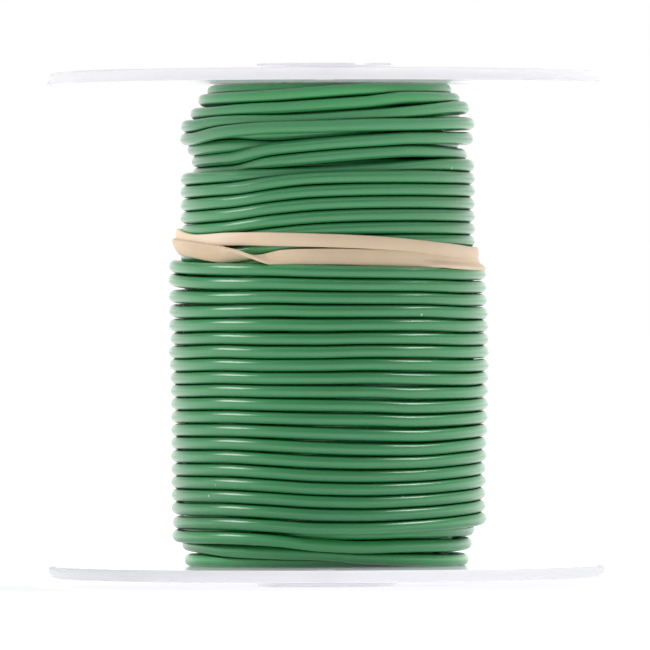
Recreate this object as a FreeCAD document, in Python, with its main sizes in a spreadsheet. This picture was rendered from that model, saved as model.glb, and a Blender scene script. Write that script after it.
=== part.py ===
"""Plastic spool of green hook-up wire, standing on end, with a flat rubber band round the winding.

Millimetres. +Z runs up the spool's axis. The origin is the centre of the lower hub's end face,
on the surface that the spool stands on. The photograph looks along +Y.
"""
import FreeCAD, Part
import math
import os

import Sketcher

Vector = FreeCAD.Vector

SIZES = [
    ("flange_diameter", 88.9, "outside diameter of each flange, 3.5 in"),
    ("flange_thickness", 1.95, "moulded wall of the flange"),
    ("rim_round", 1.4, "round on the outer edge of the rim"),
    ("rim_break", 0.2, "chamfer on the inner edge of the rim"),
    ("traverse", 77.0, "winding width between the flanges"),
    ("arbor_diameter", 19.05, "hole for the spindle, 3/4 in"),
    ("hub_wall", 1.8, "wall of the hub round the arbor hole"),
    ("hub_stand", 1.3, "how far the hub stands proud of the flange"),
    ("hub_reach", 14.0, "length of hub that plugs into the barrel"),
    ("hub_lead", 0.6, "chamfer on the hub's plug end"),
    ("hub_break", 0.3, "chamfer on the hub's outer end"),
    ("arbor_lead", 0.5, "chamfer at the mouths of the arbor hole"),
    ("plug_clearance", 0.05, "radial clearance of the hub in the barrel"),
    ("barrel_wall", 1.325, "wall of the barrel tube"),
    ("barrel_lead", 0.4, "chamfer inside each end of the barrel"),
    ("start_slot_width", 3.2, "slot for the wire's inner end"),
    ("start_slot_length", 7.0, "radial length of that slot between its round ends"),
    ("rim_hole_diameter", 3.2, "hole that can hold the wire's outer end"),
    ("rim_hole_inset", 4.6, "rim hole's centre, in from the rim"),
    ("rim_holes", 2, "number of rim holes in each flange"),
    ("wire_diameter", 2.07, "18 AWG hook-up wire over its insulation"),
    ("wire_sides", 6, "flats round the wire as drawn, few because there are many turns"),
    ("turn_gap", 0.42, "how much thinner than the wire the turns are drawn"),
    ("wound_diameter", 50.8, "over the outermost layer"),
    ("upper_zone", 23.4, "height where the layer below shows"),
    ("top_slack", 5.9, "height of the sunk turns under the upper flange"),
    ("bottom_slack", 4.2, "height of the sunk turns over the lower flange"),
    ("top_drop", 4.5, "how much lower the sunk turns at the top lie"),
    ("bottom_drop", 2.5, "how much lower the sunk turns at the bottom lie"),
    ("seat_clearance", 0.05, "between the winding and the spool"),
    ("turn_clearance", 0.1, "between the turns and what they lie on"),
    ("tail_place", 104.0, "where the wire's end turns up, degrees round from +X"),
    ("tail_bend", 5.0, "radius at which the wire's end turns up"),
    ("tail_slope", 60.0, "angle of the wire's end under the band, degrees"),
    ("tail_length", 13.0, "length of the wire's end past that bend"),
    ("conductor_diameter", 1.2, "stranded copper conductor"),
    ("conductor_bare", 1.5, "bare copper at the cut end"),
    ("band_width", 2.35, "rubber band, stretched"),
    ("band_thickness", 0.6, "rubber band, stretched"),
    ("band_gap", 0.35, "between the band's two rounds"),
    ("band_lift", 0.2, "between the band and what it lies on"),
]

doc = FreeCAD.newDocument("wire_spool")
sheet = doc.addObject("Spreadsheet::Sheet", "Sizes")
for row, (alias, number, note) in enumerate(SIZES, start=1):
    sheet.set(f"A{row}", alias)
    sheet.set(f"B{row}", str(number))
    sheet.setAlias(f"B{row}", alias)
    sheet.set(f"C{row}", note)
doc.recompute()

# Sizes that follow from others
HUB_DIAMETER = "(Sizes.arbor_diameter + 2 * Sizes.hub_wall)"
BARREL_BORE = f"({HUB_DIAMETER} + 2 * Sizes.plug_clearance)"
BARREL_DIAMETER = f"({BARREL_BORE} + 2 * Sizes.barrel_wall)"
TURN_DIAMETER = "(Sizes.wire_diameter - Sizes.turn_gap)"
SKIN = f"({TURN_DIAMETER} + Sizes.turn_clearance)"

# Heights above the origin: the flanges' inner faces and the steps of the winding
LOWER_FACE = "(Sizes.hub_stand + Sizes.flange_thickness)"
UPPER_FACE = f"({LOWER_FACE} + Sizes.traverse)"
OUTER_START = f"({LOWER_FACE} + Sizes.bottom_slack)"
UPPER_END = f"({UPPER_FACE} - Sizes.top_slack)"
OUTER_END = f"({UPPER_END} - Sizes.upper_zone)"

# Outside radii of the winding's four zones, from the lower flange up
BOTTOM_RADIUS = "(Sizes.wound_diameter / 2 - Sizes.bottom_drop)"
OUTER_RADIUS = "(Sizes.wound_diameter / 2)"
UPPER_RADIUS = "(Sizes.wound_diameter / 2 - Sizes.wire_diameter)"
TOP_RADIUS = "(Sizes.wound_diameter / 2 - Sizes.top_drop)"


def size(expression):
    """Value of an expression in the sheet's sizes."""
    return float(sheet.evalExpression(expression))


def sketch_on(body, name, role):
    """Empty sketch on one of the body's own planes."""
    sketch = body.newObject("Sketcher::SketchObject", name)
    plane = next(f for f in body.Origin.OriginFeatures if f.Role == role)
    sketch.AttachmentSupport = [(plane, "")]
    sketch.MapMode = "FlatFace"
    return sketch


def bind(sketch, kind, *where, expression):
    """Sketch constraint whose value is an expression."""
    constraint = Sketcher.Constraint(kind, *where, size(expression))
    number = sketch.addConstraint(constraint)
    sketch.setExpression(f"Constraints[{number}]", expression)


def pin(sketch, geometry, point, across, up):
    """Fixes a point of a sketch by two expressions from the origin, "0" being on the axis."""
    for kind, axis, expression in (("DistanceX", -2, across), ("DistanceY", -1, up)):
        if expression == "0":
            sketch.addConstraint(Sketcher.Constraint("PointOnObject", geometry, point, axis))
        else:
            bind(sketch, kind, -1, 1, geometry, point, expression=expression)


def outline(body, name, corners):
    """Closed outline in the XZ plane, each corner a radius and a height as expressions."""
    sketch = sketch_on(body, name, "XZ_Plane")
    points = [Vector(size(radius), size(height), 0) for radius, height in corners]
    count = len(points)
    for i in range(count):
        sketch.addGeometry(Part.LineSegment(points[i], points[(i + 1) % count]), False)
    for i in range(count):
        sketch.addConstraint(Sketcher.Constraint("Coincident", i, 2, (i + 1) % count, 1))
    for i, (radius, height) in enumerate(corners):
        pin(sketch, i, 1, radius, height)
    return sketch


def turned(body, name, corners):
    """Solid of revolution about Z."""
    sketch = outline(body, f"{name}_section", corners)
    revolution = body.newObject("PartDesign::Revolution", name)
    revolution.Profile = sketch
    revolution.ReferenceAxis = (sketch, ["V_Axis"])
    revolution.Angle = 360
    return revolution


def rings(shape, radius, height):
    """Names of the circular edges about Z of that radius and height."""
    found = []
    for number, edge in enumerate(shape.Edges, start=1):
        if not isinstance(edge.Curve, Part.Circle):
            continue
        off = edge.Curve.Center - Vector(0, 0, height)
        if off.Length < 1e-4 and abs(edge.Curve.Radius - radius) < 1e-4:
            found.append(f"Edge{number}")
    return found


def ease(body, kind, name, base, places, amount):
    """Fillet or chamfer on edges of a turned body, each place a radius and a height."""
    doc.recompute()
    edges = [edge for place in places for edge in rings(base.Shape, *map(size, place))]
    eased = body.newObject(f"PartDesign::{kind}", name)
    eased.Base = (base, edges)
    eased.setExpression("Radius" if kind == "Fillet" else "Size", amount)
    return eased


def cut_through(body, name, sketch):
    """Cut from a sketch on the XY plane up through the flange's disc."""
    pocket = body.newObject("PartDesign::Pocket", name)
    pocket.Profile = sketch
    pocket.Type = 1
    pocket.Reversed = True
    return pocket


def slot_sketch(body, name):
    """Round-ended slot along X that starts at the barrel's outside."""
    sketch = sketch_on(body, name, "XY_Plane")
    half = "Sizes.start_slot_width / 2"
    near = f"{BARREL_DIAMETER} / 2 + {half}"
    far = f"{near} + Sizes.start_slot_length"
    first = Vector(size(near), 0, 0)
    last = Vector(size(far), 0, 0)
    side = Vector(0, size(half), 0)
    axis = Vector(0, 0, 1)
    right_angle = math.pi / 2
    first_round = Part.Circle(first, axis, side.Length)
    last_round = Part.Circle(last, axis, side.Length)
    sketch.addGeometry(Part.ArcOfCircle(first_round, right_angle, 3 * right_angle), False)
    sketch.addGeometry(Part.LineSegment(first - side, last - side), False)
    sketch.addGeometry(Part.ArcOfCircle(last_round, -right_angle, right_angle), False)
    sketch.addGeometry(Part.LineSegment(last + side, first + side), False)
    for i in range(4):
        sketch.addConstraint(Sketcher.Constraint("Tangent", i, 2, (i + 1) % 4, 1))
    pin(sketch, 0, 3, near, "0")
    pin(sketch, 2, 3, far, "0")
    bind(sketch, "Radius", 0, expression=half)
    return sketch


def hole_sketch(body, name):
    """One small hole near the rim, on the Y axis."""
    sketch = sketch_on(body, name, "XY_Plane")
    place = "Sizes.flange_diameter / 2 - Sizes.rim_hole_inset"
    hole = Part.Circle(Vector(0, size(place), 0), Vector(0, 0, 1), size("Sizes.rim_hole_diameter / 2"))
    sketch.addGeometry(hole, False)
    pin(sketch, 0, 3, "0", place)
    bind(sketch, "Diameter", 0, expression="Sizes.rim_hole_diameter")
    return sketch


def flange(label):
    """End moulding: disc, hub and plug in one. Its own Z runs from the plug's end out through the disc."""
    body = doc.addObject("PartDesign::Body", label)
    body.Label = label
    bore = "Sizes.arbor_diameter / 2"
    hub = f"{HUB_DIAMETER} / 2"
    rim = "Sizes.flange_diameter / 2"
    inner = "Sizes.hub_reach"
    outer = f"{inner} + Sizes.flange_thickness"
    end = f"{outer} + Sizes.hub_stand"
    corners = [
        (bore, "0"),
        (hub, "0"),
        (hub, inner),
        (rim, inner),
        (rim, outer),
        (hub, outer),
        (hub, end),
        (bore, end),
    ]
    last = turned(body, f"{label}_moulding", corners)
    room = "Sizes.flange_thickness - 2 * Sizes.rim_break"
    rim_round = f"min(Sizes.rim_round; {room})"
    last = ease(body, "Fillet", f"{label}_rim_round", last, [(rim, outer)], rim_round)
    last = ease(body, "Chamfer", f"{label}_rim_break", last, [(rim, inner)], "Sizes.rim_break")
    last = ease(body, "Chamfer", f"{label}_hub_break", last, [(hub, end)], "Sizes.hub_break")
    last = ease(body, "Chamfer", f"{label}_hub_lead", last, [(hub, "0")], "Sizes.hub_lead")
    mouths = [(bore, "0"), (bore, end)]
    ease(body, "Chamfer", f"{label}_arbor_leads", last, mouths, "Sizes.arbor_lead")
    cut_through(body, f"{label}_start_slot", slot_sketch(body, f"{label}_slot_outline"))
    hole_outline = hole_sketch(body, f"{label}_hole_outline")
    hole = cut_through(body, f"{label}_rim_hole", hole_outline)
    doc.recompute()
    pattern = body.newObject("PartDesign::PolarPattern", f"{label}_rim_holes")
    pattern.Originals = [hole]
    pattern.Axis = (hole_outline, ["N_Axis"])
    pattern.Angle = 360
    pattern.setExpression("Occurrences", "Sizes.rim_holes")
    body.Tip = pattern
    return body


def barrel():
    """Plain tube between the flanges, plugged by their hubs, on which the wire is wound."""
    body = doc.addObject("PartDesign::Body", "barrel")
    body.Label = "barrel"
    inside = f"{BARREL_BORE} / 2"
    outside = f"{BARREL_DIAMETER} / 2"
    top = "Sizes.traverse"
    tube = turned(body, "barrel_tube", [(inside, "0"), (outside, "0"), (outside, top), (inside, top)])
    ends = [(inside, "0"), (inside, top)]
    ease(body, "Chamfer", "barrel_leads", tube, ends, "Sizes.barrel_lead")
    body.setExpression("Placement.Base.z", LOWER_FACE)
    return body


def winding_core():
    """The inner layers as one plain sleeve on the barrel, stepped under the turns that show."""
    body = doc.addObject("PartDesign::Body", "winding_core")
    body.Label = "winding_core"
    inside = f"{BARREL_DIAMETER} / 2 + Sizes.seat_clearance"
    bottom = f"{LOWER_FACE} + Sizes.seat_clearance"
    top = f"{UPPER_FACE} - Sizes.seat_clearance"
    corners = [(inside, bottom)]
    zones = [
        (BOTTOM_RADIUS, bottom, OUTER_START),
        (OUTER_RADIUS, OUTER_START, OUTER_END),
        (UPPER_RADIUS, OUTER_END, UPPER_END),
        (TOP_RADIUS, UPPER_END, top),
    ]
    for radius, start, end in zones:
        corners += [(f"{radius} - {SKIN}", start), (f"{radius} - {SKIN}", end)]
    corners.append((inside, top))
    turned(body, "core_sleeve", corners)
    return body


upper_flange = flange("upper_flange")
upper_flange.setExpression("Placement.Base.z", f"{UPPER_FACE} - Sizes.hub_reach")
lower_flange = flange("lower_flange")
lower_flange.Placement = FreeCAD.Placement(Vector(), FreeCAD.Rotation(Vector(1, 0, 0), 180))
lower_flange.setExpression("Placement.Base.z", f"{LOWER_FACE} + Sizes.hub_reach")
barrel_tube = barrel()
core = winding_core()


def tangent_arc(start, corner, finish):
    """Arc from start to finish whose end tangents meet at corner."""
    weight = (finish - start).Length / (2 * (corner - start).Length)
    if weight > 1 - 1e-9:
        return Part.LineSegment(start, finish)
    middle = ((start + finish) / 2 + corner * weight) / (1 + weight)
    return Part.Arc(start, middle, finish)


def biarc(start, heading, finish, arrival):
    """Two tangent arcs from start to finish that leave along heading and come in along arrival."""
    chord = finish - start
    spread = 2 * (1 - heading.dot(arrival))
    along = chord.dot(heading + arrival)
    if spread < 1e-9:
        reach = chord.dot(chord) / (4 * chord.dot(arrival))
    else:
        reach = (math.sqrt(along**2 + spread * chord.dot(chord)) - along) / spread
    first = start + heading * reach
    second = finish - arrival * reach
    joint = (first + second) / 2
    return [tangent_arc(start, first, joint), tangent_arc(joint, second, finish)]


def station(angle, radius, height, slope=0.0, sense=1):
    """Point and heading of the wire on its drum, angle and slope in degrees, sense -1 for clockwise."""
    way = math.radians(angle)
    climb = math.radians(slope)
    point = Vector(radius * math.cos(way), radius * math.sin(way), height)
    level = Vector(-math.sin(way), math.cos(way), 0) * sense
    return point, level * math.cos(climb) + Vector(0, 0, math.sin(climb))


def wind(stations):
    """Biarcs through the stations, one after another."""
    curves = []
    for (start, heading), (finish, arrival) in zip(stations, stations[1:]):
        curves += biarc(start, heading, finish, arrival)
    return curves


def with_straight_ends(stations):
    """Biarcs through the stations, with a straight run of one diameter at each end."""
    first, leaving = stations[0]
    last, arriving = stations[-1]
    start = Part.LineSegment(first - leaving * turn, first)
    finish = Part.LineSegment(last, last + arriving * turn)
    return [start, *wind(stations), finish]


def least_gap(spine):
    """Least gap between one turn of a winding and the others, measured on points along its line."""
    step = turn / 2
    count = int(spine.Length / step)
    points = spine.discretize(count)
    half_turn = int(math.pi * upper_line / step)
    least = min(
        (points[i] - points[j]).Length
        for i in range(0, count, 6)
        for j in range(i + half_turn, min(i + 3 * half_turn, count))
    )
    return least - turn


def wound(label, stations):
    """Winding of one unbroken wire through the stations, each straight end square to it."""
    curves = with_straight_ends(stations)
    spine = Part.Wire([curve.toShape() for curve in curves])
    start = curves[0].StartPoint
    heading = (curves[0].EndPoint - start).normalize()
    aside = heading.cross(Vector(0, 0, 1)).normalize()
    sides = int(size("Sizes.wire_sides"))
    corners = []
    for i in range(sides):
        way = 2 * math.pi * (i + 0.5) / sides
        reach = aside * math.cos(way) + Vector(0, 0, math.sin(way))
        corners.append(start + reach * (turn / 2))
    section = Part.makePolygon(corners + corners[:1])
    made = doc.addObject("Part::Feature", label)
    made.Label = label
    made.Shape = spine.makePipeShell([section], True, False)
    print("least gap in", label, round(least_gap(spine), 3))
    return made


def turns_in(start, end):
    """How many whole turns fit between two heights."""
    return int((size(end) - size(start)) / pitch + 1e-6)


turn = size(TURN_DIAMETER)
pitch = size("Sizes.wire_diameter")
bottom_line = size(BOTTOM_RADIUS) - turn / 2
outer_line = size(OUTER_RADIUS) - turn / 2
upper_line = size(UPPER_RADIUS) - turn / 2
top_line = size(TOP_RADIUS) - turn / 2


def back_climb(angle):
    """Height and slope that the outer layer's climb has reached, that many degrees past the left side."""
    way = math.radians(angle)
    steepest = pitch / 2 / math.hypot(outer_line, pitch / 2)
    return pitch / 2 * (1 - math.cos(way)), math.degrees(math.asin(steepest * math.sin(way)))


def outer_stations():
    """Outermost layer, clockwise: level across the front, one pitch up round the back.

    The first turns lie sunk by the lower flange. The last leaves its layer at the back, turns up
    and passes under the rubber band."""
    sunk = turns_in(LOWER_FACE, OUTER_START)
    count = sunk + turns_in(OUTER_START, OUTER_END)
    height = size(OUTER_START) + (0.5 - sunk) * pitch
    stations = []
    for number in range(count):
        level = height + number * pitch
        before = bottom_line if number < sunk else outer_line
        after = bottom_line if number < sunk - 1 else outer_line
        stations.append(station(0, before, level, sense=-1))
        stations.append(station(180, after, level, sense=-1))
    place = size("Sizes.tail_place")
    bend = size("Sizes.tail_bend")
    slope = size("Sizes.tail_slope")
    run = size("Sizes.tail_length")
    rise, rise_slope = back_climb(180 - place)
    level += rise
    stations.append(station(place, outer_line, level, rise_slope, -1))
    place -= math.degrees(bend * math.sin(math.radians(slope)) / outer_line)
    level += bend * (1 - math.cos(math.radians(slope)))
    stations.append(station(place, outer_line, level, slope, -1))
    place -= math.degrees(run * math.cos(math.radians(slope)) / outer_line)
    level += run * math.sin(math.radians(slope))
    stations.append(station(place, outer_line, level, slope, -1))
    return stations


def upper_stations():
    """Layer below, anticlockwise: one pitch up from the left side to the front, then level.

    The last turns lie sunk by the upper flange."""
    count = turns_in(OUTER_END, UPPER_END)
    sunk = turns_in(UPPER_END, UPPER_FACE)
    height = size(UPPER_END) - (count - 0.5) * pitch
    stations = []
    for number in range(count + sunk):
        level = height + number * pitch
        before = upper_line if number <= count else top_line
        after = upper_line if number < count else top_line
        stations.append(station(-90, before, level))
        stations.append(station(90, before, level))
        stations.append(station(180, after, level))
    return stations


outer_turns = wound("outer_turns", outer_stations())
upper_turns = wound("upper_turns", upper_stations())

tail_point, tail_heading = outer_stations()[-1]
conductor = doc.addObject("Part::Cylinder", "conductor")
conductor.Label = "conductor"
conductor.setExpression("Radius", "Sizes.conductor_diameter / 2")
conductor.setExpression("Height", "Sizes.conductor_bare")
conductor.Placement = FreeCAD.Placement(
    tail_point + tail_heading * turn, FreeCAD.Rotation(Vector(0, 0, 1), tail_heading)
)


def rubber_band():
    """One flat closed loop taken twice round the winding, one round above the other, crossed at the back."""
    width = size("Sizes.band_width")
    thick = size("Sizes.band_thickness")
    gap = size("Sizes.band_gap")
    lift = size("Sizes.band_lift")
    low = size(OUTER_END) + gap + width / 2
    high = low + width + gap
    middle = (low + high) / 2
    rest = size(UPPER_RADIUS) + lift + thick / 2
    under = size(OUTER_RADIUS) + lift + thick / 2
    over = under + thick + lift
    slope = math.degrees(math.atan2(high - low, math.pi * rest / 2))
    stations = [station(90, under, middle, slope)]
    stations += [station(90 + quarter * 90, rest, high) for quarter in (1, 2, 3)]
    stations.append(station(90, over, middle, -slope))
    stations += [station(90 + quarter * 90, rest, low) for quarter in (1, 2, 3)]
    stations.append(station(90, under, middle, slope))
    spine = Part.Wire([curve.toShape() for curve in wind(stations)])
    across = Vector(0, thick / 2, 0)
    up = Vector(0, 0, width / 2)
    centre = stations[0][0]
    corners = [centre - across - up, centre + across - up, centre + across + up, centre - across + up]
    sweep = Part.BRepOffsetAPI.MakePipeShell(spine)
    sweep.setBiNormalMode(Vector(0, 0, 1))
    sweep.add(Part.makePolygon(corners + corners[:1]))
    sweep.build()
    sweep.makeSolid()
    made = doc.addObject("Part::Feature", "rubber_band")
    made.Label = "rubber_band"
    made.Shape = sweep.shape()
    return made


band = rubber_band()

doc.recompute()
PARTS = [upper_flange, lower_flange, barrel_tube, core, upper_turns, outer_turns, conductor, band]
for item in doc.Objects:
    faults = [word for word in item.State if word in ("Invalid", "Error")]
    if faults:
        raise RuntimeError(f"{item.Label} is {faults}")
for item in PARTS:
    if item.Shape.isNull() or not item.Shape.isValid():
        raise RuntimeError(f"{item.Label} has no valid shape")
os.makedirs("parts", exist_ok=True)
for item in PARTS:
    item.Shape.exportStep(f"parts/{item.Label}.step")
    print(item.Label, "solids", len(item.Shape.Solids), "volume", round(item.Shape.Volume, 1))
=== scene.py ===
"""Looks of the wire spool: white flanges, laid green wire, the twisted rubber band, the bare wire end."""

import math

import bmesh
import bpy
import numpy as np
from mathutils import Matrix, Quaternion, Vector


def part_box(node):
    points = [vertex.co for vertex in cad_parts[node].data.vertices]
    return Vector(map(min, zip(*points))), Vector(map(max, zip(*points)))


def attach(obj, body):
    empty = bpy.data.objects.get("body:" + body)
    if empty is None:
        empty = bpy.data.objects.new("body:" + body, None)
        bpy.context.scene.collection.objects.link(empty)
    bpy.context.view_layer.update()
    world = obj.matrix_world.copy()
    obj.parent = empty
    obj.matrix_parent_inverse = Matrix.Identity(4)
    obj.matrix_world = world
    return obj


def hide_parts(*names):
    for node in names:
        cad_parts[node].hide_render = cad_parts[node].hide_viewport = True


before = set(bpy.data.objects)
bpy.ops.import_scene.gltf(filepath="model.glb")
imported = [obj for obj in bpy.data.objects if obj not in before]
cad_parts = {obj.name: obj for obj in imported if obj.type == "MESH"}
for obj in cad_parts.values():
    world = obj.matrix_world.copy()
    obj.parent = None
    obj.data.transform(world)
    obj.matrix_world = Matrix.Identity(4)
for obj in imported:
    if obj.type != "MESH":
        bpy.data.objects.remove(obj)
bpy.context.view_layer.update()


MM = 0.001
rng = np.random.default_rng(7)

# Sizes of the real thing, in millimetres
WIRE = 2.02                       # 18 AWG hook-up wire over its insulation, laid at a pitch of 2.07
AXIS_HALF = 41.75                 # half the spool's height, where the camera looks
LOWER_FACE, UPPER_FACE = 3.25, 80.25
STRAND = 0.254                    # one copper strand
BARE_LENGTH = 1.5                 # bare copper at the wire's cut end
BAND_THICKNESS = 0.6
BAND_CORNER = 0.16                # radius at the edges of the band's section


# The laid wire

# Heights of each turn's centre line at nine places across the front, left to right,
# in degrees from the middle of the front, as the photograph shows them
OUTER_PLACES = (-88, -70, -43, -21, -3, 15, 35, 62, 88)
OUTER_HEIGHTS = (
    (51.20, 50.90, 50.62, 50.46, 50.22, 50.10, 49.99, 49.77, 49.91),
    (49.05, 48.69, 48.38, 48.32, 48.14, 48.02, 47.97, 47.70, 47.75),
    (46.40, 46.28, 46.12, 46.20, 46.06, 45.98, 45.93, 45.63, 45.68),
    (44.10, 43.85, 43.93, 44.05, 43.93, 43.91, 43.89, 43.58, 43.50),
    (41.80, 41.70, 41.81, 41.81, 41.73, 41.78, 41.75, 41.46, 41.56),
    (39.66, 39.55, 39.68, 39.54, 39.52, 39.64, 39.59, 39.35, 39.42),
    (37.50, 37.41, 37.59, 37.42, 37.42, 37.58, 37.52, 37.33, 37.46),
    (35.48, 35.39, 35.54, 35.38, 35.41, 35.52, 35.38, 35.19, 35.28),
    (33.40, 33.33, 33.48, 33.32, 33.33, 33.41, 33.22, 33.03, 33.32),
    (31.38, 31.30, 31.41, 31.25, 31.21, 31.18, 30.92, 30.92, 31.24),
    (29.30, 29.26, 29.35, 29.16, 29.06, 28.93, 28.65, 28.83, 29.12),
    (27.20, 27.20, 27.24, 27.04, 26.87, 26.76, 26.51, 26.74, 27.03),
    (25.06, 25.09, 25.10, 24.88, 24.62, 24.39, 24.21, 24.58, 24.94),
    (23.00, 22.98, 23.00, 22.69, 22.32, 22.06, 21.98, 22.49, 22.81),
    (20.90, 20.85, 20.88, 20.51, 20.09, 19.90, 19.92, 20.44, 20.74),
    (18.78, 18.76, 18.78, 18.38, 17.93, 17.77, 17.89, 18.38, 18.78),
    (16.73, 16.73, 16.68, 16.30, 15.84, 15.70, 15.88, 16.38, 16.84),
    (14.70, 14.66, 14.59, 14.24, 13.80, 13.64, 13.87, 14.40, 14.88),
    (12.62, 12.50, 12.48, 12.15, 11.70, 11.59, 11.85, 12.42, 12.84),
    (10.32, 10.35, 10.29, 9.99, 9.54, 9.49, 9.81, 10.37, 10.85),
    (8.18, 8.07, 8.04, 7.71, 6.92, 6.54, 6.63, 6.64, 6.85),
    (6.75, 6.61, 5.94, 5.64, 5.47, 4.91, 4.55, 4.30, 4.29),
    (4.29, 4.30, 4.29, 4.29, 4.29, 4.29, 4.29, 4.29, 4.29),
)
# How far each turn's centre line stands from the axis at the left and at the right.
OUTER_REACH = (
    (24.02, 24.60), (24.09, 24.61), (24.05, 24.71), (24.01, 24.89), (24.03, 24.90),
    (23.79, 24.98), (24.05, 25.03), (23.95, 25.00), (23.81, 24.94), (23.77, 24.90),
    (23.69, 24.90), (23.68, 24.84), (23.68, 24.78), (23.69, 24.63), (23.73, 24.60),
    (23.69, 24.46), (23.71, 24.49), (23.68, 24.41), (23.65, 24.42), (23.50, 24.60),
)
# The lowest turns leave the outer layer and sink towards the barrel.
SUNK_RADII = (
    (23.63, 23.65, 23.71, 23.45, 22.78, 22.31, 22.14, 22.22, 22.27),
    (21.98, 22.01, 22.11, 21.75, 21.18, 21.01, 21.44, 21.72, 21.75),
    (21.70, 21.71, 20.81, 20.05, 19.38, 18.91, 18.84, 18.77, 18.70),
)

# The layer below, from its tidy turns under the band up to the upper flange
UPPER_PLACES = (-73, -47, -23, -3, 17, 39, 76)
UPPER_HEIGHTS = (
    (52.64, 52.98, 54.01, 54.71, 55.01, 55.14, 55.11),
    (54.74, 55.05, 56.09, 56.80, 57.08, 57.22, 57.17),
    (56.85, 57.14, 58.16, 58.84, 59.16, 59.23, 59.15),
    (58.92, 59.25, 60.22, 60.90, 61.17, 61.25, 61.11),
    (60.94, 61.31, 62.28, 62.94, 63.16, 63.26, 63.10),
    (63.06, 63.33, 64.37, 65.02, 65.24, 65.31, 65.13),
    (65.13, 65.35, 65.74, 65.96, 66.26, 66.61, 67.17),
    (66.04, 66.33, 67.61, 68.36, 68.99, 69.37, 68.95),
    (68.09, 68.36, 69.62, 70.32, 70.90, 71.41, 71.50),
    (71.48, 72.47, 73.00, 73.17, 73.40, 73.55, 73.86),
    (73.51, 74.04, 74.07, 74.26, 74.68, 75.49, 76.40),
    (75.48, 75.69, 76.07, 76.51, 76.98, 77.75, 77.78),
    (77.71, 77.85, 78.12, 78.57, 79.01, 79.09, 79.20),
    (79.10, 79.20, 79.20, 79.20, 79.20, 79.20, 79.20),
)
UPPER_RADII = (
    *[(22.5,) * 7] * 6,
    (22.45, 22.30, 21.20, 20.70, 20.90, 21.50, 22.50),
    (20.55, 20.60, 21.40, 21.80, 21.80, 21.60, 21.30),
    (20.80, 20.90, 21.30, 21.80, 22.20, 22.30, 22.25),
    (22.45, 22.50, 22.50, 22.50, 22.50, 22.50, 22.50),
    (22.40, 21.30, 20.75, 20.70, 20.90, 21.60, 21.60),
    (20.80, 20.40, 20.30, 20.30, 20.30, 20.60, 20.20),
    (19.60, 19.60, 19.60, 19.50, 19.40, 19.10, 18.90),
    (18.10, 18.00, 17.80, 17.70, 17.40, 17.00, 16.80),
)
# Two loose strands of the third layer that show in the gap between the untidy turns
LOOSE_HEIGHTS = (
    (69.27, 69.57, 69.96, 70.62, 71.20, 71.10, 70.25),
    (71.59, 72.11, 71.98, 72.36, 73.04, 73.70, 75.10),
)
LOOSE_RADII = (
    (20.95, 20.80, 20.40, 20.20, 20.00, 20.00, 20.35),
    (20.30, 20.30, 20.60, 20.60, 20.50, 20.30, 20.60),
)

# The layer below starts at the lower flange with one turn that climbs out to its even radius.
START_HEIGHTS = (7.3, 7.6, 8.2, 8.6, 8.85, 8.95, 9.0)
START_RADII = (20.3, 20.4, 21.0, 21.9, 22.4, 22.35, 22.35)
SECOND_RADIUS = 22.35
# The third layer's radius over its height: it sinks towards both flanges.
THIRD_HEIGHTS = (4, 5.5, 8, 10, 63, 66, 74, 76, 78, 79)
THIRD_RADII = (16.6, 18.4, 19.4, 20.2, 20.2, 18.5, 18.5, 18.0, 16.4, 15.4)

STEPS = 96                        # stations round one turn
BACK_PLACES = (125, 235)          # the back's own two places, in degrees
UNEVEN = 0.09                     # how far the unseen back strays, in millimetres
# How far the layers sit to the right of the spool's axis, in millimetres
OFF_AXIS, INNER_OFF_AXIS = 0.35, 0.1
PUSH = 0.5                        # share of an overlap that one round of settling takes away
# Weights that spread a push over the stations beside it
SPREAD = np.array((1, 2, 3, 4, 3, 2, 1)) / 16
# How readily turns give way: those measured on the photograph hardly do
MEASURED, HIDDEN, THIRD, LOOSE = 0.2, 1.0, 1.5, 0.6
# The loose strands go under at the back: from where, over how many degrees and how deep
DIVE_FROM, DIVE_OVER, DIVE_DEPTH = 84, 40, 2.6


def through(places, values, at):
    """Smooth line through the values that never overshoots one."""
    places, values = np.asarray(places, float), np.asarray(values, float)
    gaps = np.diff(places)
    slopes = np.diff(values) / gaps
    tangents = np.zeros(len(values))
    before, after = slopes[:-1], slopes[1:]
    steady = before * after > 0
    heavy, light = 2 * gaps[1:] + gaps[:-1], gaps[1:] + 2 * gaps[:-1]
    blend = heavy[steady] / before[steady] + light[steady] / after[steady]
    tangents[1:-1][steady] = (heavy + light)[steady] / blend
    span = np.clip(np.searchsorted(places, at, "right") - 1, 0, len(gaps) - 1)
    t = np.clip((at - places[span]) / gaps[span], 0, 1)
    start, end = values[span], values[span + 1]
    leave, arrive = tangents[span] * gaps[span], tangents[span + 1] * gaps[span]
    return (
        start * (1 + 2 * t) * (1 - t) ** 2
        + leave * t * (1 - t) ** 2
        + end * t * t * (3 - 2 * t)
        + arrive * t * t * (t - 1)
    )


def lay(places, rows, uneven=UNEVEN):
    """Rows of values across the front joined round the back into one line, a row of stations a turn."""
    knots, values = [-180.0], [rows[0][0]]
    for number, row in enumerate(rows):
        knots += [360 * number + place for place in places]
        values += list(row)
        if number + 1 < len(rows):
            step = rows[number + 1][0] - row[-1]
            span = 360 + places[0] - places[-1]
            for place in BACK_PLACES:
                knots.append(360 * number + place)
                share = (place - places[-1]) / span
                values.append(row[-1] + step * share + rng.uniform(-uneven, uneven))
    knots.append(360 * len(rows) - 180.0)
    values.append(rows[-1][-1])
    at = np.arange(len(rows) * STEPS) * 360 / STEPS - 180
    return through(knots, values, at).reshape(len(rows), STEPS)


def steady_rows(count, start, pitch, profile):
    """Rows of equal turns, each the profile shifted by one pitch."""
    return [[start + pitch * number + lift for lift in profile] for number in range(count)]


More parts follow.
